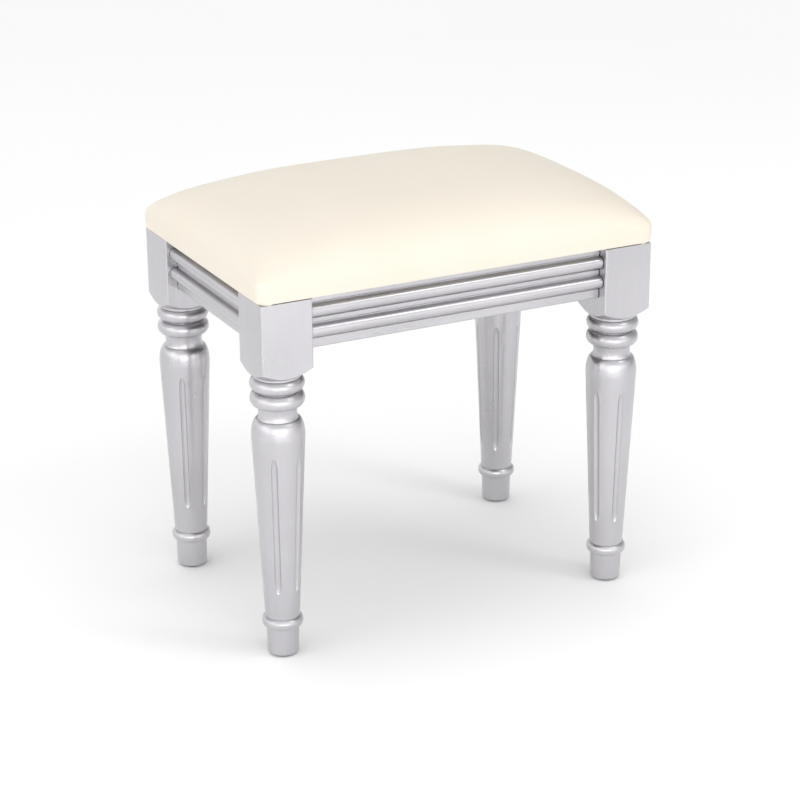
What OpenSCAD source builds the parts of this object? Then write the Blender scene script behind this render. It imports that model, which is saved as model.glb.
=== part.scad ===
// Upholstered dressing stool on four turned and fluted legs.
// Millimetres. +Z is up, +X runs along the long side, -Y is the front.
// The origin is on the floor, at the centre of the footprint.

/* [Frame] */
// Distance between the leg axes along the long side
span_x = 388; // [340:1:520]
// Distance between the leg axes along the short side
span_y = 243; // [220:1:340]
// Height of the frame, from the floor to the tops of the leg blocks
frame_h = 386; // [380:1:396]
// Height of the aprons
apron_h = 55; // [52:1:58]
// Thickness of an apron behind its flat outer face
apron_t = 20; // [18:1:22]
// How far the flat face of an apron stands behind the leg blocks
apron_set_back = 12; // [10:0.5:14]
// Open joint between the end of a moulded face and its leg block
joint_gap = 0.7; // [0.3:0.1:1.2]

/* [Apron moulding] */
// Radius of the two reeds that run along an apron
reed_r = 6.6; // [5.5:0.1:7]
// How far a reed stands proud of the flat face
reed_proud = 8; // [6.5:0.5:8.5]
// Height of the lower reed's centre above the bottom of the apron
reed_low = 18; // [14:0.5:20]
// Height of the upper reed's centre above the bottom of the apron
reed_high = 39; // [36:0.5:42]
// Radius of the small groove along each side of a reed
quirk_r = 1.1; // [0.6:0.1:1.5]

/* [Leg] */
// Side of the square block at the top of a leg
block_w = 55; // [52:1:60]
// Radius worked on the four arrises of the block
arris_r = 1.6; // [0.8:0.1:3]
// Radius of the shaft under its top shoulder
shaft_top_r = 27; // [25:0.5:28]
// Radius of the shaft above the foot bead
shaft_low_r = 17.8; // [16:0.1:20]
// Radius of the two beads under the block
bead_r = 27.5; // [26:0.5:28]
// Smallest radius of the neck
neck_r = 19.3; // [17:0.1:20]
// Radius of the bead above the foot
foot_bead_r = 21.1; // [19.5:0.1:23]
// Radius of the foot at the floor
foot_r = 16.1; // [14:0.1:17]

/* [Flutes] */
// Number of flutes around a leg
flute_count = 6; // [4:1:8]
// Width of a flute at the surface of the shaft
flute_w = 6.8; // [4.4:0.1:7.2]
// Depth of a flute
flute_d = 2.1; // [1.2:0.1:2.2]
// Height of the lower tips of the flutes
flute_low = 72; // [65:1:90]
// Height of the upper tips of the flutes
flute_high = 224; // [200:1:226]

/* [Seat] */
// How far the cushion stands out over the leg blocks
cushion_over = 3; // [2:0.5:6]
// Radius of the cushion's corners in plan
cushion_r = 12; // [8:1:20]
// Rise of the crown above the upright sides of the cushion
crown_h = 54; // [40:1:65]
// Thickness of the seat board
board_t = 12; // [9:0.5:12]
// Thickness of the seat cover
cover_t = 1; // [0.8:0.1:1.2]
// Width of the cover's turned-under edge
turn_under = 45; // [40:1:50]

/* [Hidden] */
$fn = 64;

// Play between a fastener and its hole, and the overrun of a cut
play = 0.05;
over = 1;

// The glides under the feet
glide_t = 2;
glide_r = 12;
glide_pin_r = 1.2;
glide_pin = 12;

// Heights on a leg, from the floor up
foot_round = 2;
foot_top_z = 31.8;
foot_bead_z = 37.5;
shaft_low_z = 43.3;
shaft_top_z = 241;
neck_low_z = 259.5;
neck_mid_z = 265;
neck_top_z = 272.8;
bead_2_z = 280.5;
bead_1_z = 296.4;
pommel_z = 305.3;
block_z = 320.5;

// Radii where the turned members meet
foot_top_r = 16.9;
neck_low_r = 20.5;
neck_top_r = 21;
valley_r = 21.3;
fillet_r = 23.8;

// Directions of the four corners: front left, front right, rear right, rear left
FRONT_LEFT = 0;
FRONT_RIGHT = 1;
REAR_RIGHT = 2;
REAR_LEFT = 3;
CORNERS = [FRONT_LEFT, FRONT_RIGHT, REAR_RIGHT, REAR_LEFT];
// Fluting is cut leg by leg: where it starts round each leg, in degrees,
// and how much lower or higher than the usual its tips lie
FLUTE_TURN = [-5, -6, -3, 30];
FLUTE_LOW_BY = [1, 0, -5, 2];
FLUTE_HIGH_BY = [0, 0, -1, 6];
flute_run_out = 15;

// The aprons, seen from a leg axis
apron_z = frame_h - apron_h;
face_at = -block_w / 2 + apron_set_back;
inner_at = face_at + apron_t;
face_t = 6;
apron_edge_r = 1.5;
run_x = span_x - block_w;
run_y = span_y - block_w;

// Dowels between aprons and legs
dowel_r = 4;
dowel_len = 39;
dowel_hole = 20;
dowel_at = inner_at - apron_t / 2;
DOWEL_Z = [apron_z + 12, apron_z + 43];

// Corner blocks, set across the cut inner corner of each leg
corner_cut = 12;
corner_h = 40;
corner_t = 20;
corner_gap = 1.6;
corner_z = frame_h - corner_h;
cut_sum = block_w - corner_cut;
corner_u0 = cut_sum / sqrt(2) + corner_gap;
corner_u1 = corner_u0 + corner_t;

// Hanger bolts through the corner blocks
hanger_r = 4;
hanger_grip = 30;
hanger_z = corner_z + 16;
hanger_tail = 11;
washer_r = 9;
washer_t = 1.6;
nut_t = 6.5;
nut_r = 7.5;

// Screws from the corner blocks into the aprons and up into the seat
screw_r = 1.9;
screw_head_r = 4;
screw_head_h = 2.6;
block_screw_len = 35;
block_screw_v = 32.2;
block_screw_z = corner_z + 12;
seat_screw_len = 50;
seat_screw_v = 12;
seat_screw_u = corner_u0 + corner_t / 2;

// Layers of the seat, from the frame up
fold_t = 1.2;
fold_w = 18;
fold_len = 30;
dust_t = 0.6;
dust_clear = 2.5;
cover_z = frame_h + fold_t;
dust_z = cover_z - dust_t;
board_z = cover_z + cover_t;
foam_z = board_z + board_t + 0.15;
dome_z = frame_h + 16;
cushion_hx = (span_x + block_w) / 2 + cushion_over;
cushion_hy = (span_y + block_w) / 2 + cushion_over;
side_tuck = 1.3;
edge_round = 0.8;
board_hx = cushion_hx - side_tuck - cover_t - 0.2;
board_hy = cushion_hy - side_tuck - cover_t - 0.2;
open_hx = cushion_hx - side_tuck - turn_under;
open_hy = cushion_hy - side_tuck - turn_under;
dust_hx = span_x / 2 - inner_at - dust_clear;
dust_hy = span_y / 2 - inner_at - dust_clear;

// The dome: how flat its top is, how quickly its edges rise, and how close to its rounded corners it drops to meet them
dome_flat = 3.1;
dome_rise_x = 3.2;
dome_rise_y = 2.25;
dome_rings = 11;
ring_spread = 2.8;
corner_drop = 40;
corner_steps = 4;
long_steps = 8;
short_steps = 6;

// Staples: crown width, wire and leg
staple_w = 10;
staple_wire = 0.5;
staple_leg = 6.4;
cover_staple_in = 16;
cover_staples_x = 9;
cover_staples_y = 6;
cover_staple_step = 45;
dust_staple_in = 4.5;
dust_staples_x = 5;
dust_staples_y = 2;
dust_staple_step = 50;

// ---- Shared shapes ----

// A rounded rectangle from squares and circles, centred
module rounded_rect(hx, hy, r) {
    square([2 * hx, 2 * (hy - r)], center = true);
    square([2 * (hx - r), 2 * hy], center = true);
    for (sx = [-1, 1], sy = [-1, 1])
        translate([sx * (hx - r), sy * (hy - r)]) circle(r = r);
}

// Places a child at a leg axis, with +X +Y of the child pointing into the frame
module at_corner(corner) {
    sx = corner == FRONT_LEFT || corner == REAR_LEFT ? -1 : 1;
    sy = corner == FRONT_LEFT || corner == FRONT_RIGHT ? -1 : 1;
    translate([sx * span_x / 2, sy * span_y / 2, 0]) rotate(90 * corner) children();
}

// Points the Z axis of a child into the frame along a corner's diagonal,
// u along the diagonal from the leg axis, v across it
module on_diagonal(u, v, z) {
    translate([(u - v) / sqrt(2), (u + v) / sqrt(2), z]) rotate([0, 90, 45]) children();
}

// A countersunk screw along +Z, its tip at 0 and its head's face at length
module screw(length, grow = 0) {
    cylinder(r = screw_r + grow, h = length);
    translate([0, 0, length - screw_head_h])
        cylinder(r1 = screw_r + grow, r2 = screw_head_r + grow, h = screw_head_h);
}

// ---- Legs ----

// Points of a convex elliptic arc from angle a0 to a1
function arc(cr, cz, rr, rz, a0 = -90, a1 = 90, steps = 12) =
    [for (i = [0:steps]) let (a = a0 + (a1 - a0) * i / steps) [cr + rr * cos(a), cz + rz * sin(a)]];

// Points of the hollow neck, which is narrowest at neck_mid_z
function neck(steps = 10) =
    [for (i = [0:steps])
        let (z = neck_low_z + (neck_top_z - neck_low_z) * i / steps,
             end_r = z < neck_mid_z ? neck_low_r : neck_top_r,
             end_z = z < neck_mid_z ? neck_low_z : neck_top_z)
        [neck_r + (end_r - neck_r) * pow((z - neck_mid_z) / (end_z - neck_mid_z), 2), z]];

// The turned part: foot, foot bead, tapered shaft, shoulder, neck and two beads
module turning() {
    rotate_extrude() polygon(concat(
        [[0, glide_t]],
        arc(foot_r - foot_round, glide_t + foot_round, foot_round, foot_round, a1 = 0, steps = 4),
        [[foot_top_r, foot_top_z]],
        arc(foot_top_r + 0.4, foot_bead_z, foot_bead_r - foot_top_r - 0.4, foot_bead_z - foot_top_z),
        [[shaft_low_r, shaft_low_z]],
        arc(neck_low_r, shaft_top_z, shaft_top_r - neck_low_r, neck_low_z - shaft_top_z, a0 = 0),
        neck(),
        arc(neck_top_r, bead_2_z, bead_r - neck_top_r, bead_2_z - neck_top_z, steps = 16),
        arc(valley_r, bead_1_z, bead_r - valley_r, 7, steps = 16),
        [[fillet_r, bead_1_z + 7], [fillet_r, pommel_z + over], [0, pommel_z + over]]
    ));
}

// The square block, its lower corners turned away to the fillet above the beads
module pommel_block() {
    half_diagonal = block_w / sqrt(2) + over;
    intersection() {
        translate([0, 0, pommel_z]) linear_extrude(frame_h - pommel_z)
            rounded_rect(block_w / 2, block_w / 2, arris_r);
        rotate_extrude() polygon(concat(
            [[0, pommel_z], [fillet_r, pommel_z]],
            arc(half_diagonal - 5.2, block_z, 5.2, 7, a0 = -60, a1 = 0, steps = 5),
            [[half_diagonal, frame_h], [0, frame_h]]
        ));
    }
}

// One flute's cutter lies along the taper and rounds off at both ends,
// so that the flute narrows to a point as it runs out
module flute(corner) {
    cutter_r = (pow(flute_w / 2, 2) + pow(flute_d, 2)) / (2 * flute_d);
    low = flute_low + FLUTE_LOW_BY[corner];
    high = flute_high + FLUTE_HIGH_BY[corner];
    slope = (shaft_top_r - shaft_low_r) / (shaft_top_z - shaft_low_z);
    mid_z = (low + high) / 2;
    tip = flute_run_out * sqrt(1 - pow(1 - flute_d / cutter_r, 2));
    straight = high - low - 2 * tip;
    end = [for (a = [0:10:80]) [cutter_r * cos(a), straight / 2 + flute_run_out * sin(a)]];
    half = concat(end, [[0, straight / 2 + flute_run_out]]);
    mirrored = [for (i = [len(half) - 1:-1:0]) [half[i].x, -half[i].y]];
    translate([shaft_low_r + slope * (mid_z - shaft_low_z), 0, mid_z])
        rotate([0, atan(slope), 0])
        translate([cutter_r - flute_d, 0, 0])
        rotate_extrude() polygon(concat(mirrored, half));
}

// Dowel holes in the two faces that the aprons meet
module leg_dowel_holes() {
    for (z = DOWEL_Z, face = [0, 1])
        mirror([face, -face, 0])
            translate([block_w / 2 - dowel_hole, dowel_at, z])
            rotate([0, 90, 0]) cylinder(r = dowel_r + play, h = dowel_hole + over);
}

// The inner corner is cut flat where the corner block stands
module corner_flat() {
    translate([0, 0, corner_z - 6]) linear_extrude(frame_h)
        polygon([[cut_sum, 0], [cut_sum + block_w, 0], [0, cut_sum + block_w], [0, cut_sum]]);
}

module leg(corner) {
    color("silver") at_corner(corner) difference() {
        union() {
            turning();
            pommel_block();
        }
        for (i = [0:flute_count - 1])
            rotate(FLUTE_TURN[corner] + 360 * i / flute_count) flute(corner);
        leg_dowel_holes();
        corner_flat();
        on_diagonal(cut_sum / sqrt(2) - hanger_grip, 0, hanger_z)
            cylinder(r = hanger_r + play, h = hanger_grip + over);
        translate([0, 0, glide_t - over])
            cylinder(r = glide_pin_r + play, h = glide_pin + over + play);
    }
}

// ---- Aprons ----

// Section of the moulded face, outwards along -X and upwards along +Y
module apron_face() {
    difference() {
        union() {
            translate([apron_edge_r, 0]) square([face_t - apron_edge_r, apron_h]);
            translate([0, apron_edge_r]) square([face_t, apron_h - apron_edge_r]);
            translate([apron_edge_r, apron_edge_r]) circle(r = apron_edge_r);
        }
        for (q = [reed_low, reed_high], side = [-1, 1])
            translate([0, q + side * (reed_r + 0.6 * quirk_r)]) circle(r = quirk_r);
    }
    for (q = [reed_low, reed_high])
        translate([reed_r - reed_proud, q]) circle(r = reed_r);
}

// An apron of the given run, its flat face in the XZ plane, outwards along -Y
module apron_body(run) {
    difference() {
        union() {
            translate([-run / 2 + joint_gap, 0, 0]) rotate([90, 0, 90])
                linear_extrude(run - 2 * joint_gap) apron_face();
            translate([-run / 2, face_t, 0]) cube([run, apron_t - face_t, apron_h]);
        }
        for (z = DOWEL_Z, end = [0, 1])
            mirror([end, 0, 0])
                translate([run / 2 - dowel_hole, apron_t / 2, z - apron_z])
                rotate([0, 90, 0]) cylinder(r = dowel_r + play, h = dowel_hole + over);
    }
}

// Places an apron on a side: 0 front, 1 right, 2 rear, 3 left
module apron(side) {
    run = side % 2 == 0 ? run_x : run_y;
    reach = side % 2 == 0 ? span_y / 2 : span_x / 2;
    color("silver") difference() {
        rotate(90 * side) translate([0, -reach + face_at, apron_z]) apron_body(run);
        for (corner = CORNERS) at_corner(corner) block_screw_pair(play);
    }
}

// ---- Joinery and hardware ----

module dowel() {
    chamfer = 1;
    rotate_extrude() polygon([
        [0, 0], [dowel_r - chamfer, 0], [dowel_r, chamfer],
        [dowel_r, dowel_len - chamfer], [dowel_r - chamfer, dowel_len], [0, dowel_len]
    ]);
}

module apron_dowels() {
    color("burlywood") for (corner = CORNERS) at_corner(corner)
        for (z = DOWEL_Z, face = [0, 1])
            mirror([face, -face, 0])
                translate([block_w / 2 - dowel_len / 2, dowel_at, z])
                rotate([0, 90, 0]) dowel();
}

module block_screw_pair(grow = 0) {
    for (side = [-1, 1])
        on_diagonal(corner_u1 - block_screw_len, side * block_screw_v, block_screw_z)
            screw(block_screw_len, grow);
}

module seat_screw(grow = 0) {
    x = (seat_screw_u - seat_screw_v) / sqrt(2);
    y = (seat_screw_u + seat_screw_v) / sqrt(2);
    translate([x, y, corner_z + seat_screw_len]) mirror([0, 0, 1]) screw(seat_screw_len, grow);
}

module corner_block(corner) {
    sum_0 = corner_u0 * sqrt(2);
    sum_1 = corner_u1 * sqrt(2);
    color("tan") at_corner(corner) difference() {
        translate([0, 0, corner_z]) linear_extrude(corner_h) polygon([
            [inner_at, sum_0 - inner_at], [inner_at, sum_1 - inner_at],
            [sum_1 - inner_at, inner_at], [sum_0 - inner_at, inner_at]
        ]);
        on_diagonal(corner_u0 - over, 0, hanger_z)
            cylinder(r = hanger_r + 0.5, h = corner_t + 2 * over);
        block_screw_pair(play);
        seat_screw(play);
    }
}

module hanger_bolts() {
    length = hanger_grip + corner_gap + corner_t + hanger_tail;
    tip = 2;
    color("gainsboro") for (corner = CORNERS) at_corner(corner)
        on_diagonal(cut_sum / sqrt(2) - hanger_grip, 0, hanger_z) {
            cylinder(r1 = hanger_r - tip, r2 = hanger_r, h = tip);
            translate([0, 0, tip]) cylinder(r = hanger_r, h = length - tip - 1);
            translate([0, 0, length - 1]) cylinder(r1 = hanger_r, r2 = hanger_r - 1, h = 1);
        }
}

module hanger_washers() {
    color("gainsboro") for (corner = CORNERS) at_corner(corner)
        on_diagonal(corner_u1, 0, hanger_z) difference() {
            cylinder(r = washer_r, h = washer_t);
            translate([0, 0, -over]) cylinder(r = hanger_r + 0.3, h = washer_t + 2 * over);
        }
}

module hanger_nuts() {
    bevel = 0.9;
    color("gainsboro") for (corner = CORNERS) at_corner(corner)
        on_diagonal(corner_u1 + washer_t, 0, hanger_z) difference() {
            intersection() {
                cylinder(r = nut_r, h = nut_t, $fn = 6);
                rotate_extrude() polygon([
                    [0, 0], [nut_r - bevel, 0], [nut_r, bevel / 2],
                    [nut_r, nut_t - bevel / 2], [nut_r - bevel, nut_t], [0, nut_t]
                ]);
            }
            translate([0, 0, -over]) cylinder(r = hanger_r + play, h = nut_t + 2 * over);
        }
}

module corner_block_screws() {
    color("darkgoldenrod") for (corner = CORNERS) at_corner(corner) block_screw_pair();
}

module seat_screws() {
    color("darkgoldenrod") for (corner = CORNERS) at_corner(corner) seat_screw();
}

// A nail-on glide under each foot: the only part that touches the floor
module glide(corner) {
    color("dimgray") at_corner(corner) {
        rotate_extrude() polygon([
            [0, 0], [glide_r - 1, 0], [glide_r, 1], [glide_r, glide_t], [0, glide_t]
        ]);
        cylinder(r = glide_pin_r, h = glide_t + glide_pin);
    }
}

// ---- Seat ----

// How high the dome stands at t, 0 at the middle and 1 at the edge
function dome(t, rise) = pow(max(0, 1 - pow(t, dome_flat)), 1 / rise);

function dome_xy(x, y, hx, hy) = dome(abs(x) / hx, dome_rise_x) * dome(abs(y) / hy, dome_rise_y);

// A rounded rectangle as points, each side in steps, anticlockwise from above
function outline(hx, hy, r) = [
    for (c = [0:3])
        let (sx = c == 0 || c == 3 ? 1 : -1,
             sy = c < 2 ? 1 : -1,
             steps = c % 2 == 0 ? long_steps : short_steps,
             side = c % 2 == 0 ? [-2 * (hx - r) * sx, 0] : [0, -2 * (hy - r) * sy])
        for (i = [0:corner_steps + steps - 1])
            i <= corner_steps
                ? let (a = 90 * c + 90 * i / corner_steps)
                    [sx * (hx - r) + r * cos(a), sy * (hy - r) + r * sin(a)]
                : let (a = 90 * (c + 1), part = (i - corner_steps) / steps)
                    [sx * (hx - r) + r * cos(a), sy * (hy - r) + r * sin(a)] + side * part
];

// The cushion's solid, drawn in by shrink all round and flat below at low_z
module cushion_form(shrink, low_z) {
    hx = cushion_hx - shrink;
    hy = cushion_hy - shrink;
    rise = crown_h - shrink;
    edge = outline(hx, hy, cushion_r);
    side_z = [low_z, low_z + edge_round, (low_z + dome_z) / 2];
    sides = [for (z = side_z)
        let (below = (dome_z - z) / (dome_z - cover_z),
             draw = side_tuck * pow(below, 2) + (z == low_z ? edge_round * below : 0))
        for (p = outline(hx - draw, hy - draw, cushion_r)) [p.x, p.y, z]];
    top = [for (j = [0:dome_rings - 1])
        let (k = 1 - pow(j / dome_rings, ring_spread))
        for (p = edge)
            let (h = dome_xy(k * p.x, k * p.y, hx, hy) - pow(k, corner_drop) * dome_xy(p.x, p.y, hx, hy))
            [k * p.x, k * p.y, dome_z + rise * h]];
    n = len(edge);
    rings = len(side_z) + dome_rings;
    points = concat(sides, top, [[0, 0, dome_z + rise], [0, 0, low_z]]);
    faces = concat(
        [for (i = [0:n - 1]) [i, (i + 1) % n, rings * n + 1]],
        [for (j = [0:rings - 2], i = [0:n - 1]) [j * n + i, (j + 1) * n + i, (j + 1) * n + (i + 1) % n]],
        [for (j = [0:rings - 2], i = [0:n - 1]) [j * n + i, (j + 1) * n + (i + 1) % n, j * n + (i + 1) % n]],
        [for (i = [0:n - 1]) [(rings - 1) * n + i, rings * n, (rings - 1) * n + (i + 1) % n]]
    );
    polyhedron(points, faces);
}

// A row of staples round a rectangle, crowns below z = 0 and legs up into the board
module staple_row(hx, hy, count_x, count_y, step, grow = 0) {
    for (side = [-1, 1]) {
        for (i = [0:count_x - 1])
            translate([(i - (count_x - 1) / 2) * step, side * hy, 0]) staple(grow);
        for (i = [0:count_y - 1])
            translate([side * hx, (i - (count_y - 1) / 2) * step, 0]) rotate(90) staple(grow);
    }
}

module staple(grow = 0) {
    wire = staple_wire + 2 * grow;
    translate([0, 0, -staple_wire / 2]) cube([staple_w, wire, staple_wire], center = true);
    for (side = [-1, 1])
        translate([side * (staple_w - staple_wire) / 2, 0, (staple_leg + grow - staple_wire) / 2])
            cube([wire, wire, staple_leg + grow + staple_wire], center = true);
}

module cover_staple_row(grow = 0) {
    translate([0, 0, cover_z])
        staple_row(cushion_hx - cover_staple_in, cushion_hy - cover_staple_in,
                   cover_staples_x, cover_staples_y, cover_staple_step, grow);
}

module dust_staple_row(grow = 0) {
    translate([0, 0, dust_z])
        staple_row(dust_hx - dust_staple_in, dust_hy - dust_staple_in,
                   dust_staples_x, dust_staples_y, dust_staple_step, grow);
}

module seat_screw_holes(grow) {
    for (corner = CORNERS) at_corner(corner) seat_screw(grow);
}

module seat_board() {
    color("wheat") difference() {
        translate([0, 0, board_z]) linear_extrude(board_t)
            rounded_rect(board_hx, board_hy, cushion_r - 2);
        seat_screw_holes(play);
        cover_staple_row(play);
        dust_staple_row(play);
    }
}

module foam_pad() {
    color("khaki") cushion_form(cover_t + 0.15, foam_z);
}

// The cover's folded corners, which the seat stands on
module corner_folds() {
    inset = side_tuck + 2 * edge_round;
    low_hx = cushion_hx - inset;
    low_hy = cushion_hy - inset;
    apex = (block_w / 2 + cushion_over - inset) * sqrt(2);
    translate([0, 0, frame_h]) linear_extrude(fold_t + cover_t / 2) intersection() {
        rounded_rect(low_hx, low_hy, cushion_r - edge_round);
        union() for (corner = CORNERS) at_corner(corner)
            rotate(45) translate([-apex, -fold_w / 2]) square([fold_len, fold_w]);
    }
}

module seat_cover() {
    color("ivory") {
        difference() {
            cushion_form(0, cover_z);
            cushion_form(cover_t, board_z);
            translate([0, 0, cover_z - over]) linear_extrude(cover_t + 2 * over)
                rounded_rect(open_hx, open_hy, cushion_r);
            cover_staple_row(play);
            dust_staple_row(play);
        }
        corner_folds();
    }
}

module cover_staples() {
    color("gainsboro") cover_staple_row();
}

module dust_cover() {
    color("dimgray") difference() {
        translate([0, 0, dust_z]) linear_extrude(dust_t)
            rounded_rect(dust_hx, dust_hy, cushion_r / 2);
        seat_screw_holes(2 * play);
        dust_staple_row(play);
    }
}

module dust_cover_staples() {
    color("gainsboro") dust_staple_row();
}

// ---- The nodes ----

leg(FRONT_LEFT);  // leg_front_left
leg(FRONT_RIGHT);  // leg_front_right
leg(REAR_RIGHT);  // leg_rear_right
leg(REAR_LEFT);  // leg_rear_left
apron(0);  // apron_front
apron(1);  // apron_right
apron(2);  // apron_rear
apron(3);  // apron_left
corner_block(FRONT_LEFT);  // corner_block_front_left
corner_block(FRONT_RIGHT);  // corner_block_front_right
corner_block(REAR_RIGHT);  // corner_block_rear_right
corner_block(REAR_LEFT);  // corner_block_rear_left
glide(FRONT_LEFT);  // glide_front_left
glide(FRONT_RIGHT);  // glide_front_right
glide(REAR_RIGHT);  // glide_rear_right
glide(REAR_LEFT);  // glide_rear_left
apron_dowels();
hanger_bolts();
hanger_washers();
hanger_nuts();
corner_block_screws();
seat_screws();
seat_board();
foam_pad();
seat_cover();
cover_staples();
dust_cover();
dust_cover_staples();
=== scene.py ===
"""Upholstered dressing stool: looks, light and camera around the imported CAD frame.

Metres, +X along the long side, the front at -Y, +Z up.
"""

import math

import bpy
import numpy as np
from mathutils import Matrix, Vector, kdtree


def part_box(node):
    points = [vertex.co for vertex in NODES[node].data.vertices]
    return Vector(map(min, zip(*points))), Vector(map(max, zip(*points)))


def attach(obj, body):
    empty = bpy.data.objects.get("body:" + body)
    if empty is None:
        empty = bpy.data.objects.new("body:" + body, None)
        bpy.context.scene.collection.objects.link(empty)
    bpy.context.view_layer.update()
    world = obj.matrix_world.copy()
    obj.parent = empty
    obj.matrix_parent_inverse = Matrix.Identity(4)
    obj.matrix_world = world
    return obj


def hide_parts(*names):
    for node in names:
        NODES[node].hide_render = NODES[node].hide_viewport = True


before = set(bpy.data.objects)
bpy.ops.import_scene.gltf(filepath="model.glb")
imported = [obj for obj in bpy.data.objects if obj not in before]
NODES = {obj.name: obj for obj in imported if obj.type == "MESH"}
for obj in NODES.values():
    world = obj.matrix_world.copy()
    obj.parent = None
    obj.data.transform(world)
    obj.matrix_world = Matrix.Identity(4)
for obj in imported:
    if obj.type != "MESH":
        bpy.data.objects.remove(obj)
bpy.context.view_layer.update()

SCENE = bpy.context.scene

# ---- Camera ----

# Metres, degrees and millimetres: in front of the stool, to its left, looking down
CAMERA_AT = Vector((-1.0702, -2.0898, 1.1071))
CAMERA_YAW = 27.212
CAMERA_PITCH = 21.115
CAMERA_ROLL = -0.234
CAMERA_LENS = 105.2
SENSOR = 36.0


def add_camera():
    yaw = math.radians(CAMERA_YAW)
    pitch = math.radians(CAMERA_PITCH)
    roll = math.radians(CAMERA_ROLL)
    level = Vector((math.sin(yaw), math.cos(yaw), 0))
    forward = math.cos(pitch) * level - math.sin(pitch) * Vector((0, 0, 1))
    right = Vector((math.cos(yaw), -math.sin(yaw), 0))
    up = right.cross(forward)
    rolled_right = math.cos(roll) * right + math.sin(roll) * up
    rolled_up = -math.sin(roll) * right + math.cos(roll) * up
    data = bpy.data.cameras.new("camera")
    data.lens = CAMERA_LENS
    data.sensor_width = SENSOR
    data.sensor_fit = "HORIZONTAL"
    data.clip_start = 0.05
    data.clip_end = 60
    cam = bpy.data.objects.new("camera", data)
    SCENE.collection.objects.link(cam)
    turn = Matrix((rolled_right, rolled_up, -forward)).transposed()
    cam.matrix_world = Matrix.Translation(CAMERA_AT) @ turn.to_4x4()
    SCENE.camera = cam


# ---- Node helpers ----


class Graph:
    """A material's node tree, built by short calls."""

    def __init__(self, name):
        self.material = bpy.data.materials.new(name)
        self.material.use_nodes = True
        self.tree = self.material.node_tree
        self.tree.nodes.clear()
        self.out = self.add("ShaderNodeOutputMaterial")

    def add(self, kind, **settings):
        node = self.tree.nodes.new(kind)
        for key, value in settings.items():
            setattr(node, key, value)
        return node

    def link(self, source, target):
        self.tree.links.new(source, target)

    def position(self, scale=(1, 1, 1), rotation=(0, 0, 0)):
        """The point in the object's own space, in metres, turned and then scaled."""
        coords = self.add("ShaderNodeTexCoord")
        turned = self.add("ShaderNodeMapping")
        turned.inputs["Rotation"].default_value = rotation
        self.link(coords.outputs["Object"], turned.inputs["Vector"])
        scaled = self.add("ShaderNodeMapping")
        scaled.inputs["Scale"].default_value = scale
        self.link(turned.outputs["Vector"], scaled.inputs["Vector"])
        return scaled.outputs["Vector"]

    def noise(self, vector, scale, detail=3, roughness=0.5, distortion=0):
        node = self.add("ShaderNodeTexNoise")
        self.link(vector, node.inputs["Vector"])
        node.inputs["Scale"].default_value = scale
        node.inputs["Detail"].default_value = detail
        node.inputs["Roughness"].default_value = roughness
        node.inputs["Distortion"].default_value = distortion
        return node.outputs["Fac"]

    def voronoi(self, vector, scale, feature="F1"):
        node = self.add("ShaderNodeTexVoronoi", feature=feature)
        self.link(vector, node.inputs["Vector"])
        node.inputs["Scale"].default_value = scale
        return node.outputs["Distance"]

    def ramp(self, value, low, high, to_low=0.0, to_high=1.0):
        node = self.add("ShaderNodeMapRange")
        self.link(value, node.inputs["Value"])
        node.inputs["From Min"].default_value = low
        node.inputs["From Max"].default_value = high
        node.inputs["To Min"].default_value = to_low
        node.inputs["To Max"].default_value = to_high
        return node.outputs["Result"]

    def maths(self, operation, a, b=None):
        node = self.add("ShaderNodeMath", operation=operation)
        for socket, value in zip(node.inputs, (a, b)):
            if value is None:
                continue
            if isinstance(value, (int, float)):
                socket.default_value = value
            else:
                self.link(value, socket)
        return node.outputs["Value"]

    def mix(self, factor, a, b):
        node = self.add("ShaderNodeMix", data_type="RGBA")
        enabled = [socket for socket in node.inputs if socket.enabled]
        for socket, value in zip(enabled, (factor, a, b)):
            if isinstance(value, (int, float)):
                socket.default_value = value
            elif isinstance(value, tuple):
                socket.default_value = (*value, 1)
            else:
                self.link(value, socket)
        return next(socket for socket in node.outputs if socket.enabled)

    def bump(self, height, distance, under=None):
        node = self.add("ShaderNodeBump")
        self.link(height, node.inputs["Height"])
        node.inputs["Distance"].default_value = distance
        if under is not None:
            self.link(under, node.inputs["Normal"])
        return node.outputs["Normal"]

    def principled(self, color, roughness, normal=None, **constants):
        """The surface; constants are socket names with _ for each space."""
        node = self.add("ShaderNodeBsdfPrincipled")
        self.link(color, node.inputs["Base Color"])
        if isinstance(roughness, (int, float)):
            node.inputs["Roughness"].default_value = roughness
        else:
            self.link(roughness, node.inputs["Roughness"])
        if normal is not None:
            self.link(normal, node.inputs["Normal"])
        for key, value in constants.items():
            node.inputs[key.replace("_", " ")].default_value = value
        self.link(node.outputs["BSDF"], self.out.inputs["Surface"])
        return self.material


# ---- Materials ----

SILVER = (0.495, 0.486, 0.508)
SILVER_DARK = (0.434, 0.426, 0.446)
SILVER_LIGHT = (0.542, 0.532, 0.554)

# The open joint between an apron's moulded face and the leg block, with the near-black shade painted into
# it, and the moulding's two reeds.
# Reed heights are from the apron's lower edge.
GAP_SHADE_COLOUR = (0.02, 0.02, 0.022)
JOINT_GAP = 0.0007
JOINT_BLEND = 0.00002
FACE_TOLERANCE = 0.0002
REED_R = 0.0066
REED_PROUD = 0.008
REED_HEIGHTS = (0.018, 0.039)


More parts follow.
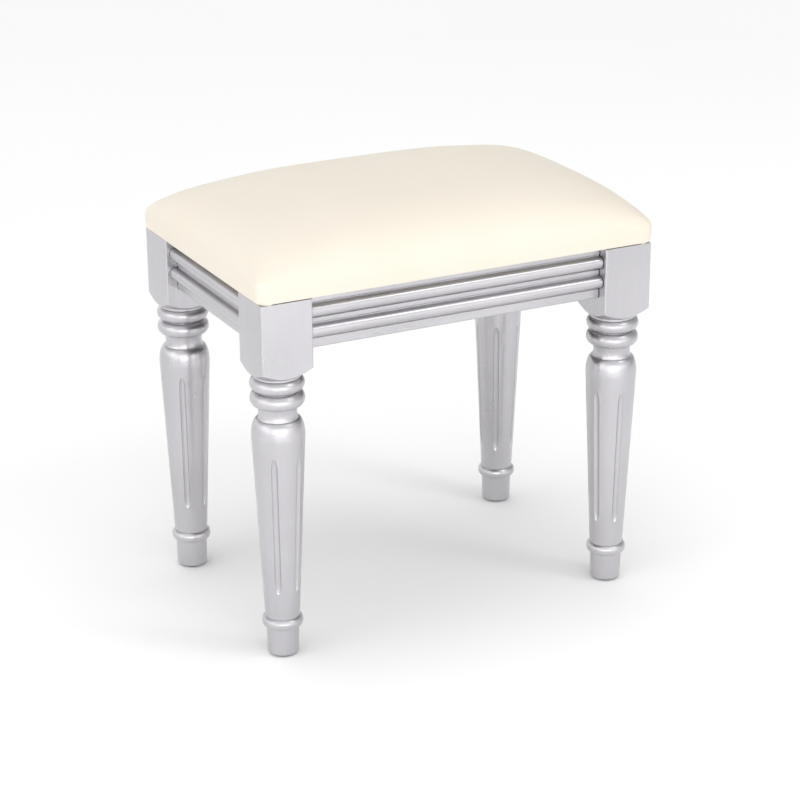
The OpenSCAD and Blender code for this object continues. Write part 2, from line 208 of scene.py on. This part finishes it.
def joint_shadow(g, flat, apron, along, across):
    """1 on a leg block's face inside an apron's open joint, behind the moulding's line; 0 elsewhere.

    along and across are the axes, 0 for X and 1 for Y, that the apron runs along and is thick in.
    """
    lo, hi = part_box(apron)
    split = g.add("ShaderNodeSeparateXYZ")
    g.link(flat, split.inputs["Vector"])
    reach = g.maths("ABSOLUTE", split.outputs["XYZ"[along]])
    depth = g.maths("ABSOLUTE", split.outputs["XYZ"[across]])
    offs = [g.maths("SUBTRACT", split.outputs["Z"], lo.z + z) for z in REED_HEIGHTS]
    near = g.maths("MINIMUM", *[g.maths("ABSOLUTE", off) for off in offs])
    rest = g.maths("SUBTRACT", REED_R**2, g.maths("MULTIPLY", near, near))
    reed = g.maths("ADD", g.maths("SQRT", g.maths("MAXIMUM", rest, 0.0)), REED_PROUD - REED_R)
    proud = g.maths("MULTIPLY", reed, g.maths("LESS_THAN", near, REED_R))
    outer = max(abs(lo[across]), abs(hi[across]))
    line = g.maths("ADD", proud, outer - REED_PROUD)
    behind = g.maths("LESS_THAN", depth, line)
    on_face = g.maths("COMPARE", reach, hi[along])
    on_face.node.inputs[2].default_value = FACE_TOLERANCE
    above = g.maths("GREATER_THAN", split.outputs["Z"], lo.z)
    return g.maths("MULTIPLY", g.maths("MULTIPLY", behind, on_face), above)


def silver_paint(name, streaks, streak, joint=None, shadows=()):
    """Satin silver lacquer over wood.

    streaks scales the space of the brush marks, and streak is their strength. joint is (axis, distance from
    the middle), beyond which an apron is painted near-black as shade in the open joint; shadows lists
    joint_shadow's arguments for a leg.
    """
    g = Graph(name)
    flat = g.position()
    long = g.position(scale=streaks)
    cloudy = g.noise(flat, 9, detail=2)
    brushed = g.noise(long, 160, detail=1)
    flake = g.noise(flat, 500, detail=0)
    tone = g.mix(g.ramp(cloudy, 0.35, 0.65), SILVER, SILVER_LIGHT)
    tone = g.mix(g.ramp(brushed, 0.35, 0.75, 0.0, streak), tone, SILVER_DARK)
    tone = g.mix(g.ramp(flake, 0.3, 0.7, 0.16, 0.0), tone, SILVER_LIGHT)
    # Painted shade: the apron's ends and its core inside the open joint turn near-black, standing in for
    # the shadow in the gap
    if joint:
        axis, start = joint
        split = g.add("ShaderNodeSeparateXYZ")
        g.link(flat, split.inputs["Vector"])
        bare_wood_and_gap_shade = g.ramp(g.maths("ABSOLUTE", split.outputs[axis]), start - JOINT_BLEND, start)
        tone = g.mix(bare_wood_and_gap_shade, tone, GAP_SHADE_COLOUR)
    for apron, along, across in shadows:
        tone = g.mix(joint_shadow(g, flat, apron, along, across), tone, GAP_SHADE_COLOUR)
    rough = g.maths("ADD", g.ramp(cloudy, 0.3, 0.7, 0.27, 0.33), g.ramp(brushed, 0.3, 0.7, -0.02, 0.04))
    peel = g.noise(flat, 220, detail=0)
    normal = g.bump(g.maths("ADD", peel, g.maths("MULTIPLY", brushed, streak)), 0.00003)
    return g.principled(tone, rough, normal, Metallic=0.85, Coat_Weight=0.3, Coat_Roughness=0.12)


def leatherette():
    """Cream coated fabric: fine pebble grain, satin, with a slight colour drift."""
    g = Graph("cream_leatherette_look")
    flat = g.position()
    warp = g.noise(flat, 180, detail=2)
    coords = g.add("ShaderNodeVectorMath", operation="ADD")
    g.link(flat, coords.inputs[0])
    scaled = g.add("ShaderNodeVectorMath", operation="SCALE")
    colour = g.add("ShaderNodeTexNoise")
    colour.inputs["Scale"].default_value = 260
    g.link(flat, colour.inputs["Vector"])
    g.link(colour.outputs["Color"], scaled.inputs[0])
    scaled.inputs["Scale"].default_value = 0.0022
    g.link(scaled.outputs["Vector"], coords.inputs[1])
    grain = g.voronoi(coords.outputs["Vector"], 620, feature="DISTANCE_TO_EDGE")
    pebble = g.ramp(grain, 0.0, 0.22)
    cloudy = g.noise(flat, 7, detail=3)
    tone = g.mix(g.ramp(cloudy, 0.35, 0.65), (0.728, 0.668, 0.574), (0.742, 0.687, 0.598))
    tone = g.mix(g.ramp(pebble, 0.0, 1.0, 0.22, 0.0), tone, (0.69, 0.62, 0.515))
    rough = g.maths("ADD", g.ramp(warp, 0.3, 0.7, 0.42, 0.5), g.ramp(pebble, 0.0, 1.0, 0.08, 0.0))
    normal = g.bump(pebble, 0.00005)
    normal = g.bump(warp, 0.0001, under=normal)
    sheen = {"Sheen_Weight": 0.05, "Sheen_Roughness": 0.4}
    return g.principled(tone, rough, normal, Specular_IOR_Level=0.4, **sheen)


def wood(name, light, dark, axis_scale, rotation=(0, 0, 0)):
    """Plain sawn wood: rings stretched along the grain, pores and a dull surface."""
    g = Graph(name)
    along = g.position(scale=axis_scale, rotation=rotation)
    rings = g.noise(along, 55, detail=4, roughness=0.55, distortion=0.6)
    pores = g.noise(along, 420, detail=2)
    tone = g.mix(g.ramp(rings, 0.35, 0.68), light, dark)
    tone = g.mix(g.ramp(pores, 0.55, 0.8, 0.0, 0.5), tone, tuple(0.6 * c for c in dark))
    rough = g.ramp(rings, 0.3, 0.7, 0.62, 0.78)
    normal = g.bump(pores, 0.0001)
    normal = g.bump(rings, 0.0001, under=normal)
    return g.principled(tone, rough, normal, Specular_IOR_Level=0.3)


def plated(name, light, dark, rough_low, rough_high):
    """Plated steel: brushed-in scratches and slightly patchy plating."""
    g = Graph(name)
    flat = g.position()
    patch = g.noise(flat, 160, detail=3)
    scratch = g.noise(g.position(scale=(1, 1, 7)), 900, detail=2)
    tone = g.mix(g.ramp(patch, 0.35, 0.7), light, dark)
    rough = g.ramp(patch, 0.3, 0.7, rough_low, rough_high)
    normal = g.bump(scratch, 0.00003)
    return g.principled(tone, rough, normal, Metallic=1.0)


def plastic(name, light, dark):
    g = Graph(name)
    flat = g.position()
    grain = g.noise(flat, 1400, detail=2)
    scuff = g.noise(flat, 120, detail=4)
    tone = g.mix(g.ramp(scuff, 0.45, 0.75), dark, light)
    rough = g.ramp(scuff, 0.3, 0.7, 0.42, 0.6)
    return g.principled(tone, rough, g.bump(grain, 0.00004))


def foam_look():
    g = Graph("foam_look")
    flat = g.position()
    cells = g.voronoi(flat, 900)
    cloudy = g.noise(flat, 30, detail=3)
    tone = g.mix(g.ramp(cloudy, 0.35, 0.65), (0.88, 0.83, 0.58), (0.8, 0.73, 0.46))
    tone = g.mix(g.ramp(cells, 0.1, 0.5, 0.35, 0.0), tone, (0.6, 0.52, 0.3))
    rough = g.ramp(cells, 0.0, 0.6, 0.8, 0.95)
    return g.principled(tone, rough, g.bump(cells, 0.0004), Specular_IOR_Level=0.2)


def nonwoven():
    """Black spun-bonded cloth, pressed in a fine diamond pattern."""
    g = Graph("black_nonwoven_look")
    flat = g.position(rotation=(0, 0, math.radians(45)))
    waves = []
    for axis in ("X", "Y"):
        wave = g.add("ShaderNodeTexWave", wave_type="BANDS", bands_direction=axis)
        g.link(flat, wave.inputs["Vector"])
        wave.inputs["Scale"].default_value = 130
        waves.append(wave.outputs["Fac"])
    dots = g.ramp(g.maths("MULTIPLY", waves[0], waves[1]), 0.45, 0.75)
    fibres = g.noise(g.position(), 1500, detail=4, roughness=0.7)
    cloudy = g.noise(g.position(), 40, detail=3)
    tone = g.mix(g.ramp(fibres, 0.35, 0.7), (0.014, 0.014, 0.016), (0.05, 0.05, 0.055))
    tone = g.mix(g.ramp(dots, 0.0, 1.0, 0.0, 0.5), tone, (0.012, 0.012, 0.013))
    tone = g.mix(g.ramp(cloudy, 0.4, 0.7, 0.0, 0.3), tone, (0.06, 0.06, 0.065))
    rough = g.ramp(dots, 0.0, 1.0, 0.9, 0.6)
    normal = g.bump(fibres, 0.0002)
    normal = g.bump(g.maths("SUBTRACT", 1.0, dots), 0.0002, under=normal)
    return g.principled(tone, rough, normal, Sheen_Weight=0.2, Sheen_Roughness=0.5)


# ---- Cushion ----

# The dome's flatness and its steepness along X and Y, the radius of the corners in plan, how far the side
# tucks in, the rounding of the lower edge, where the dome starts above the frame, how far the cover turns
# under the board, its thickness, the gap to the foam, the mesh's cell, and the rings of the side and of the
# turned edge
DOME_FLAT = 3.1
DOME_RISE_X = 3.2
DOME_RISE_Y = 2.25
CORNER_R = 0.012
SIDE_TUCK = 0.0013
EDGE_ROUND = 0.0008
DOME_START = 0.016
TURN_UNDER = 0.045
COVER_T = 0.00095
FOAM_GAP = 0.0004
CELL = 0.005
SIDE_RINGS = 4
FLANGE_RINGS = 9

cover_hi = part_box("seat_cover")[1]
foam_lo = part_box("foam_pad")[0]
frame_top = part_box("leg_front_left")[1].z
cover_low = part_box("dust_cover")[1].z
HX, HY = cover_hi.x, cover_hi.y
DOME_Z = frame_top + DOME_START
RISE = cover_hi.z - DOME_Z


def dome(t, rise):
    return np.maximum(0.0, 1 - np.abs(t) ** DOME_FLAT) ** (1 / rise)


def dome_height(x, y):
    """Height of the dome over a point of the square grid, which reaches the rim all along its edge."""
    return DOME_Z + RISE * dome(x / HX, DOME_RISE_X) * dome(y / HY, DOME_RISE_Y)


def spaced(half, rise):
    """Stations from -half to half, evenly spaced along the dome's profile."""
    fine = np.sin(np.linspace(-math.pi / 2, math.pi / 2, 4001)) * half
    high = RISE * dome(fine / half, rise)
    run = np.concatenate([[0], np.cumsum(np.hypot(np.diff(fine), np.diff(high)))])
    count = int(round(run[-1] / CELL))
    return np.interp(np.linspace(0, run[-1], count + 1), run, fine)


def rounded(x, y, hx, hy, r):
    """Maps the corner squares of a rectangle onto quarter discs."""
    sx, sy = np.sign(x), np.sign(y)
    u = np.clip((np.abs(x) - (hx - r)) / r, 0, 1)
    v = np.clip((np.abs(y) - (hy - r)) / r, 0, 1)
    inside = (u > 0) & (v > 0)
    px = hx - r + r * u * np.sqrt(1 - v * v / 2)
    py = hy - r + r * v * np.sqrt(1 - u * u / 2)
    return np.where(inside, sx * px, x), np.where(inside, sy * py, y)


def cushion_mesh():
    """Quads of the cover's outer face: the top grid, the upright sides, and the edge turned under."""
    xs, ys = spaced(HX, DOME_RISE_X), spaced(HY, DOME_RISE_Y)
    nx, ny = len(xs), len(ys)
    gx, gy = np.meshgrid(xs, ys, indexing="ij")
    px, py = rounded(gx, gy, HX, HY, CORNER_R)
    pz = dome_height(gx, gy)
    points = [np.stack([px.ravel(), py.ravel(), pz.ravel()], 1)]
    faces = []

    def at(i, j):
        return i * ny + j

    for i in range(nx - 1):
        for j in range(ny - 1):
            faces.append((at(i, j), at(i + 1, j), at(i + 1, j + 1), at(i, j + 1)))
    loop = [(i, 0) for i in range(nx - 1)]
    loop += [(nx - 1, j) for j in range(ny - 1)]
    loop += [(i, ny - 1) for i in range(nx - 1, 0, -1)]
    loop += [(0, j) for j in range(ny - 1, 0, -1)]
    ring = [at(i, j) for i, j in loop]
    lx = np.array([xs[i] for i, j in loop])
    ly = np.array([ys[j] for i, j in loop])
    rows = side_rows()
    start = nx * ny
    for inset, z in rows:
        hx, hy = HX - inset, HY - inset
        qx, qy = rounded(lx * hx / HX, ly * hy / HY, hx, hy, CORNER_R)
        points.append(np.stack([qx, qy, np.full(len(lx), z)], 1))
        here = list(range(start, start + len(lx)))
        n = len(ring)
        for m in range(n):
            faces.append((ring[m], here[m], here[(m + 1) % n], ring[(m + 1) % n]))
        ring = here
        start += len(lx)
    return np.concatenate(points), faces, nx * ny, len(lx), ring


def side_rows():
    """(inset, z) of each ring below the dome: the tucked side, the rounded lower edge, the flange."""
    low = cover_low
    rows = []
    for z in np.linspace(DOME_Z, low + EDGE_ROUND, SIDE_RINGS + 1)[1:]:
        below = (DOME_Z - z) / (DOME_Z - low)
        rows.append((SIDE_TUCK * below**2, z))
    inset = SIDE_TUCK
    rows.append((inset + 0.25 * EDGE_ROUND, low + 0.25 * EDGE_ROUND))
    rows.append((inset + EDGE_ROUND, low))
    for i in range(1, FLANGE_RINGS + 1):
        rows.append((inset + EDGE_ROUND + (TURN_UNDER - EDGE_ROUND) * i / FLANGE_RINGS, low))
    return rows


def grid_faces(nx, ny):
    """Quads of a grid of nx by ny cells, its points numbered along the second axis first."""
    corners = [i * (ny + 1) + j for i in range(nx) for j in range(ny)]
    return [(a, a + ny + 1, a + ny + 2, a + 1) for a in corners]


def new_object(name, points, faces):
    mesh = bpy.data.meshes.new(name)
    mesh.from_pydata([tuple(p) for p in points], [], faces)
    mesh.update()
    obj = bpy.data.objects.new(name, mesh)
    SCENE.collection.objects.link(obj)
    for polygon in mesh.polygons:
        polygon.use_smooth = True
    return obj


def apply_modifiers(obj):
    bpy.context.view_layer.objects.active = obj
    for o in bpy.context.selected_objects:
        o.select_set(False)
    obj.select_set(True)
    for modifier in list(obj.modifiers):
        bpy.ops.object.modifier_apply(modifier=modifier.name)


def vertices(obj):
    co = np.zeros(len(obj.data.vertices) * 3)
    obj.data.vertices.foreach_get("co", co)
    return co.reshape(-1, 3)


# The swelling pad: how far it is drawn in first, the most that any point may then move, the simulation's
# cell size, pressure and length, and the height over which its held foot lets go. The movement is then
# spread over the cover with a bell of this radius, from this many of the nearest points.
SHRINK = 0.002
CAP = 0.006
VOXEL = 0.005
PRESSURE = 1.6
SIM_FRAMES = 20
HELD_H = 0.012
SPREAD = 0.016
SPREAD_POINTS = 80


def shrunk(points):
    """The cushion before it swells: drawn in above the seat board, unchanged beside and under it."""
    lift = np.clip((points[:, 2] - foam_lo.z) / (0.5 * (cover_hi.z - foam_lo.z)), 0, 1)
    depth = SHRINK * lift * lift * (3 - 2 * lift)
    out = points.copy()
    out[:, 0] *= 1 - depth / HX
    out[:, 1] *= 1 - depth / HY
    out[:, 2] -= depth
    return out


def swell(points, faces, last_ring):
    """Runs the pad as pressurised cloth and returns how far each point moves, at most CAP."""
    closed = faces + [tuple(last_ring)]
    pad = new_object("swelling_pad", points, closed)
    remesh = pad.modifiers.new("remesh", "REMESH")
    remesh.mode = "VOXEL"
    remesh.voxel_size = VOXEL
    apply_modifiers(pad)
    before = vertices(pad)
    held = pad.vertex_groups.new(name="held")
    for index, p in enumerate(before):
        above = (p[2] - foam_lo.z) / HELD_H
        held.add([index], float(np.clip(1 - above, 0, 1)), "REPLACE")
    cloth = pad.modifiers.new("cloth", "CLOTH")
    settings = cloth.settings
    settings.use_pressure = True
    settings.uniform_pressure_force = PRESSURE
    settings.tension_stiffness = 15
    settings.compression_stiffness = 15
    settings.shear_stiffness = 5
    settings.bending_stiffness = 0.5
    settings.mass = 0.3
    settings.quality = 5
    settings.vertex_group_mass = "held"
    settings.effector_weights.gravity = 0
    cloth.collision_settings.use_collision = False
    cloth.collision_settings.use_self_collision = False
    cloth.point_cache.frame_start = 1
    cloth.point_cache.frame_end = SIM_FRAMES
    for step in range(1, SIM_FRAMES + 1):
        SCENE.frame_set(step)
    evaluated = pad.evaluated_get(bpy.context.evaluated_depsgraph_get())
    after = np.array([v.co[:] for v in evaluated.data.vertices])
    move = after - before
    length = np.linalg.norm(move, axis=1)
    move *= (np.minimum(length, CAP) / np.maximum(length, 1e-12))[:, None]
    tree = kdtree.KDTree(len(before))
    for index, p in enumerate(before):
        tree.insert(p, index)
    tree.balance()
    shift = np.zeros_like(points)
    for index, p in enumerate(points):
        total = 0.0
        for _, near, distance in tree.find_n(p, SPREAD_POINTS):
            weight = math.exp(-((distance / SPREAD) ** 2))
            shift[index] += weight * move[near]
            total += weight
        shift[index] /= total
    SCENE.frame_set(1)
    bpy.data.objects.remove(pad)
    return shift


# A folded corner: width, length, the bulge of its inner end, the rounding of its edges, and its facets
FOLD_W = 0.018
FOLD_LEN = 0.03
FOLD_NOSE = 0.004
FOLD_EDGE = 0.0004
FOLD_STEPS = 8


def fold_outline(sx, sy):
    """Plan of the folded leatherette under one corner: an arc, then a strip along the diagonal."""
    inset = SIDE_TUCK + 2 * EDGE_ROUND
    r = CORNER_R - EDGE_ROUND
    centre = np.array([sx * (HX - inset - r), sy * (HY - inset - r)])
    out = np.array([sx, sy]) / math.sqrt(2)
    across = np.array([-out[1], out[0]])
    points = []
    for i in range(FOLD_STEPS + 1):
        angle = math.radians(-45 + 90 * i / FOLD_STEPS)
        points.append(centre + r * (math.cos(angle) * out + math.sin(angle) * across))
    apex = centre + r * math.sqrt(2) * out
    for i in range(FOLD_STEPS + 1):
        turn = math.pi * i / FOLD_STEPS
        end = apex - (FOLD_LEN - FOLD_NOSE * math.sin(turn)) * out
        points.append(end + FOLD_W / 2 * math.cos(turn) * across)
    return points


def corner_folds():
    """The cover's folded corners, which the seat stands on."""
    built = []
    for sx, sy in ((-1, -1), (1, -1), (1, 1), (-1, 1)):
        plan = fold_outline(sx, sy)
        n = len(plan)
        low = [(p[0], p[1], frame_top) for p in plan]
        high = [(p[0], p[1], cover_low + 0.3 * COVER_T) for p in plan]
        faces = [tuple(range(n))[::-1], tuple(range(n, 2 * n))]
        faces += [(i, (i + 1) % n, n + (i + 1) % n, n + i) for i in range(n)]
        fold = new_object("fold", low + high, faces)
        bevel = fold.modifiers.new("bevel", "BEVEL")
        bevel.width = FOLD_EDGE
        bevel.segments = 2
        apply_modifiers(fold)
        built.append(fold)
    return built


def join(target, others):
    bpy.ops.object.select_all(action="DESELECT")
    for obj in others + [target]:
        obj.select_set(True)
    bpy.context.view_layer.objects.active = target
    bpy.ops.object.join()


def build_cushion():
    points, faces, top_count, ring_count, last_ring = cushion_mesh()
    start = shrunk(points)
    points = start + swell(start, faces, last_ring)
    turned_under = points[top_count + SIDE_RINGS * ring_count :]
    turned_under[:, 2] = np.minimum(turned_under[:, 2], cover_low + EDGE_ROUND)
    cover = new_object("seat_cushion_cover", points, faces)
    subdivide = cover.modifiers.new("subdivide", "SUBSURF")
    subdivide.levels = 1
    subdivide.render_levels = 1
    thick = cover.modifiers.new("thickness", "SOLIDIFY")
    thick.thickness = COVER_T
    thick.offset = -1
    apply_modifiers(cover)
    join(cover, corner_folds())
    return cover, points, faces, top_count, ring_count


def build_foam(points, faces, top_count, ring_count):
    """The foam block under the cover: the same dome, a little smaller, closed flat on the board."""
    keep = top_count + ring_count
    inner = points[:keep].copy()
    gap = COVER_T + FOAM_GAP
    inner[:, 0] *= 1 - gap / HX
    inner[:, 1] *= 1 - gap / HY
    inner[:top_count, 2] -= gap
    inner[top_count:, 2] = foam_lo.z
    inner[:, 2] = np.maximum(inner[:, 2], foam_lo.z)
    sides = [f for f in faces if max(f) < keep]
    sides.append(tuple(range(top_count, keep)))
    return new_object("seat_foam", inner, sides)


# ---- Dust cover ----

# Thickness, mesh cells, the most it sags, and how far from a corner block it starts to
SHEET_T = 0.0004
SHEET_CELLS = (124, 76)
SAG = 0.0022
BLOCK_BLEND = 0.03


def build_dust_cover():
    """The stretched cloth: a little slack between its staples, and flat over the corner blocks."""
    lo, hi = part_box("dust_cover")
    top = (lo.z + hi.z) / 2
    nx, ny = SHEET_CELLS
    xs = np.linspace(lo.x, hi.x, nx + 1)
    ys = np.linspace(lo.y, hi.y, ny + 1)
    gx, gy = np.meshgrid(xs, ys, indexing="ij")
    u = np.abs(gx) / hi.x
    v = np.abs(gy) / hi.y
    block_lo, block_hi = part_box("corner_block_front_left")
    inner_face = abs(block_hi.x) + abs(block_lo.y)
    free = np.clip((inner_face - np.abs(gx) - np.abs(gy)) / BLOCK_BLEND, 0, 1)
    slack = (1 - u**4) * (1 - v**4) * free * free * (3 - 2 * free)
    # Two crossing ripples, in metres, with radians per metre
    wave = 0.0009 * np.sin(gx * 41 + 0.6 * np.sin(gy * 33)) * slack
    wave += 0.0006 * np.sin(gy * 57 + 0.8 * np.sin(gx * 23) + 1.3) * slack
    sag = SAG * slack
    gz = top - sag + np.minimum(wave, 0.6 * sag)
    points = np.stack([gx.ravel(), gy.ravel(), gz.ravel()], 1)
    sheet = new_object("dust_cover_cloth", points, grid_faces(nx, ny))
    thick = sheet.modifiers.new("thickness", "SOLIDIFY")
    thick.thickness = SHEET_T
    thick.offset = 0
    apply_modifiers(sheet)
    return sheet


# ---- Light and floor ----


def add_light(name, at, aim, size, power, spread=180):
    """A soft box; spread is how wide its light fans out, in degrees."""
    data = bpy.data.lights.new(name, "AREA")
    data.shape = "RECTANGLE"
    data.size, data.size_y = size
    data.energy = power
    data.spread = math.radians(spread)
    light = bpy.data.objects.new(name, data)
    SCENE.collection.objects.link(light)
    light.location = at
    light.rotation_euler = (Vector(aim) - Vector(at)).to_track_quat("-Z", "Y").to_euler()
    light.visible_camera = False


# Brightness of the sky by the sine of its elevation, from the horizon to the zenith
SKY = ((0.0, 1.1), (0.04, 1.9), (0.3, 2.05), (0.45, 1.1), (0.8, 1.0), (0.97, 1.6))
# Directions in which it is dimmer, with the share of light lost there, and where each dimming starts and
# is full, as the cosine of the angle from that direction
DARK_SIDES = ((Vector((0.98, 0.17, 0)), 0.75), (Vector((-0.46, 0.89, 0)), 0.4))
DIM_FROM = 0.2
DIM_FULL = 0.95


def add_world():
    """A pale tent of light: a bright low band, a calmer height, and two dimmer sides."""
    world = bpy.data.worlds.new("studio")
    SCENE.world = world
    world.use_nodes = True
    tree = world.node_tree
    tree.nodes.clear()
    out = tree.nodes.new("ShaderNodeOutputWorld")
    background = tree.nodes.new("ShaderNodeBackground")
    coords = tree.nodes.new("ShaderNodeTexCoord")
    split = tree.nodes.new("ShaderNodeSeparateXYZ")
    tree.links.new(coords.outputs["Generated"], split.inputs["Vector"])
    height = tree.nodes.new("ShaderNodeFloatCurve")
    tree.links.new(split.outputs["Z"], height.inputs["Value"])
    # Level below the horizon, where a falling curve would turn negative
    height.mapping.extend = "HORIZONTAL"
    curve = height.mapping.curves[0]
    top = max(level for _, level in SKY)
    curve.points[0].location = (SKY[0][0], SKY[0][1] / top)
    curve.points[1].location = (SKY[-1][0], SKY[-1][1] / top)
    for place, level in SKY[1:-1]:
        curve.points.new(place, level / top)
    height.mapping.update()
    level = height.outputs["Value"]
    gain = top
    for direction, loss in DARK_SIDES:
        side = tree.nodes.new("ShaderNodeVectorMath")
        side.operation = "DOT_PRODUCT"
        tree.links.new(coords.outputs["Generated"], side.inputs[0])
        side.inputs[1].default_value = direction
        dim = tree.nodes.new("ShaderNodeMapRange")
        tree.links.new(side.outputs["Value"], dim.inputs["Value"])
        dim.inputs["From Min"].default_value = DIM_FROM
        dim.inputs["From Max"].default_value = DIM_FULL
        dim.inputs["To Min"].default_value = gain
        dim.inputs["To Max"].default_value = gain * (1 - loss)
        strength = tree.nodes.new("ShaderNodeMath")
        strength.operation = "MULTIPLY"
        tree.links.new(level, strength.inputs[0])
        tree.links.new(dim.outputs["Result"], strength.inputs[1])
        level = strength.outputs["Value"]
        gain = 1.0
    tree.links.new(level, background.inputs["Strength"])
    tree.links.new(background.outputs["Background"], out.inputs["Surface"])
    background.inputs["Color"].default_value = (1, 1, 1, 1)


FLOOR_HALF = 9.0
FLOOR_CELLS = 36


def add_floor():
    stops = np.linspace(-FLOOR_HALF, FLOOR_HALF, FLOOR_CELLS + 1)
    points = [(x, y, 0.0) for x in stops for y in stops]
    faces = grid_faces(FLOOR_CELLS, FLOOR_CELLS)
    floor = new_object("floor", points, faces)
    g = Graph("floor_look")
    mottled = g.noise(g.position(), 0.7, detail=2)
    tone = g.mix(g.ramp(mottled, 0.3, 0.7), (0.93, 0.93, 0.93), (0.95, 0.95, 0.95))
    floor.data.materials.append(g.principled(tone, 0.7, Specular_IOR_Level=0.1))


# ---- Assembly ----


def dress(prefix, material):
    """Gives every CAD node whose name starts with prefix a material."""
    for name, obj in NODES.items():
        if name.startswith(prefix):
            for index in range(len(obj.material_slots)):
                obj.material_slots[index].material = material


def dress_wood():
    shadows = (("apron_front", 0, 1), ("apron_right", 1, 0))
    dress("leg_", silver_paint("silver_paint_legs", (1, 1, 0.2), 0.12, shadows=shadows))
    end_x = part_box("apron_front")[1].x - JOINT_GAP
    end_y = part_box("apron_left")[1].y - JOINT_GAP
    long = silver_paint("silver_paint_long", (0.05, 1, 1), 0.4, joint=("X", end_x))
    dress("apron_front", long)
    dress("apron_rear", long)
    short = silver_paint("silver_paint_short", (1, 0.05, 1), 0.4, joint=("Y", end_y))
    dress("apron_left", short)
    dress("apron_right", short)
    diagonal = (0, 0, math.radians(45))
    bare_wood_and_gap_shade = wood("bare_wood_look", (0.72, 0.52, 0.33), (0.56, 0.37, 0.21), (1, 0.12, 1), diagonal)
    dress("corner_block_", bare_wood_and_gap_shade)
    dress("seat_board", wood("plywood_look", (0.74, 0.57, 0.37), (0.6, 0.42, 0.25), (0.08, 1, 1)))
    dress("apron_dowels", wood("dowel_look", (0.8, 0.64, 0.42), (0.66, 0.48, 0.28), (1, 1, 1)))


def dress_fittings():
    zinc = plated("zinc_look", (0.74, 0.75, 0.77), (0.6, 0.61, 0.63), 0.28, 0.42)
    dress("hanger_", zinc)
    yellow = plated("yellow_zinc_look", (0.78, 0.62, 0.3), (0.66, 0.55, 0.32), 0.26, 0.4)
    dress("corner_block_screws", yellow)
    dress("seat_screws", yellow)
    staple = plated("staple_look", (0.7, 0.71, 0.73), (0.6, 0.6, 0.62), 0.25, 0.4)
    dress("cover_staples", staple)
    dress("dust_cover_staples", staple)
    dress("glide_", plastic("glide_look", (0.1, 0.1, 0.1), (0.05, 0.05, 0.05)))


def main():
    add_camera()
    add_world()
    add_floor()
    add_light("key", (-0.8, -2.4, 0.6), (0, 0, 0.25), (2.2, 0.5), 7)
    add_light("front_pool", (-0.4, -1.95, 0.8), (-0.35, -1.55, 0), (2.0, 0.4), 6, spread=80)
    add_light("left_pool", (-1.7, -0.5, 0.8), (-1.5, -0.4, 0), (0.4, 1.2), 1.2, spread=80)
    add_light("left", (-2.2, -0.2, 1.3), (0, 0, 0.4), (1.2, 0.8), 2.5)
    add_light("high", (1.15, -1.35, 2.2), (0, -0.14, 0.35), (0.5, 0.5), 6.3)
    add_light("top", (0.0, 0.1, 2.6), (0, 0, 0.3), (1.6, 1.0), 4.0)
    dress_wood()
    dress_fittings()

    cover, points, faces, top_count, ring_count = build_cushion()
    cover.data.materials.append(leatherette())
    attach(cover, "root")
    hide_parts("seat_cover")

    foam = build_foam(points, faces, top_count, ring_count)
    foam.data.materials.append(foam_look())
    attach(foam, "root")
    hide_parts("foam_pad")

    sheet = build_dust_cover()
    sheet.data.materials.append(nonwoven())
    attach(sheet, "root")
    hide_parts("dust_cover")

    SCENE.view_settings.view_transform = "Standard"
    SCENE.view_settings.look = "None"


main()
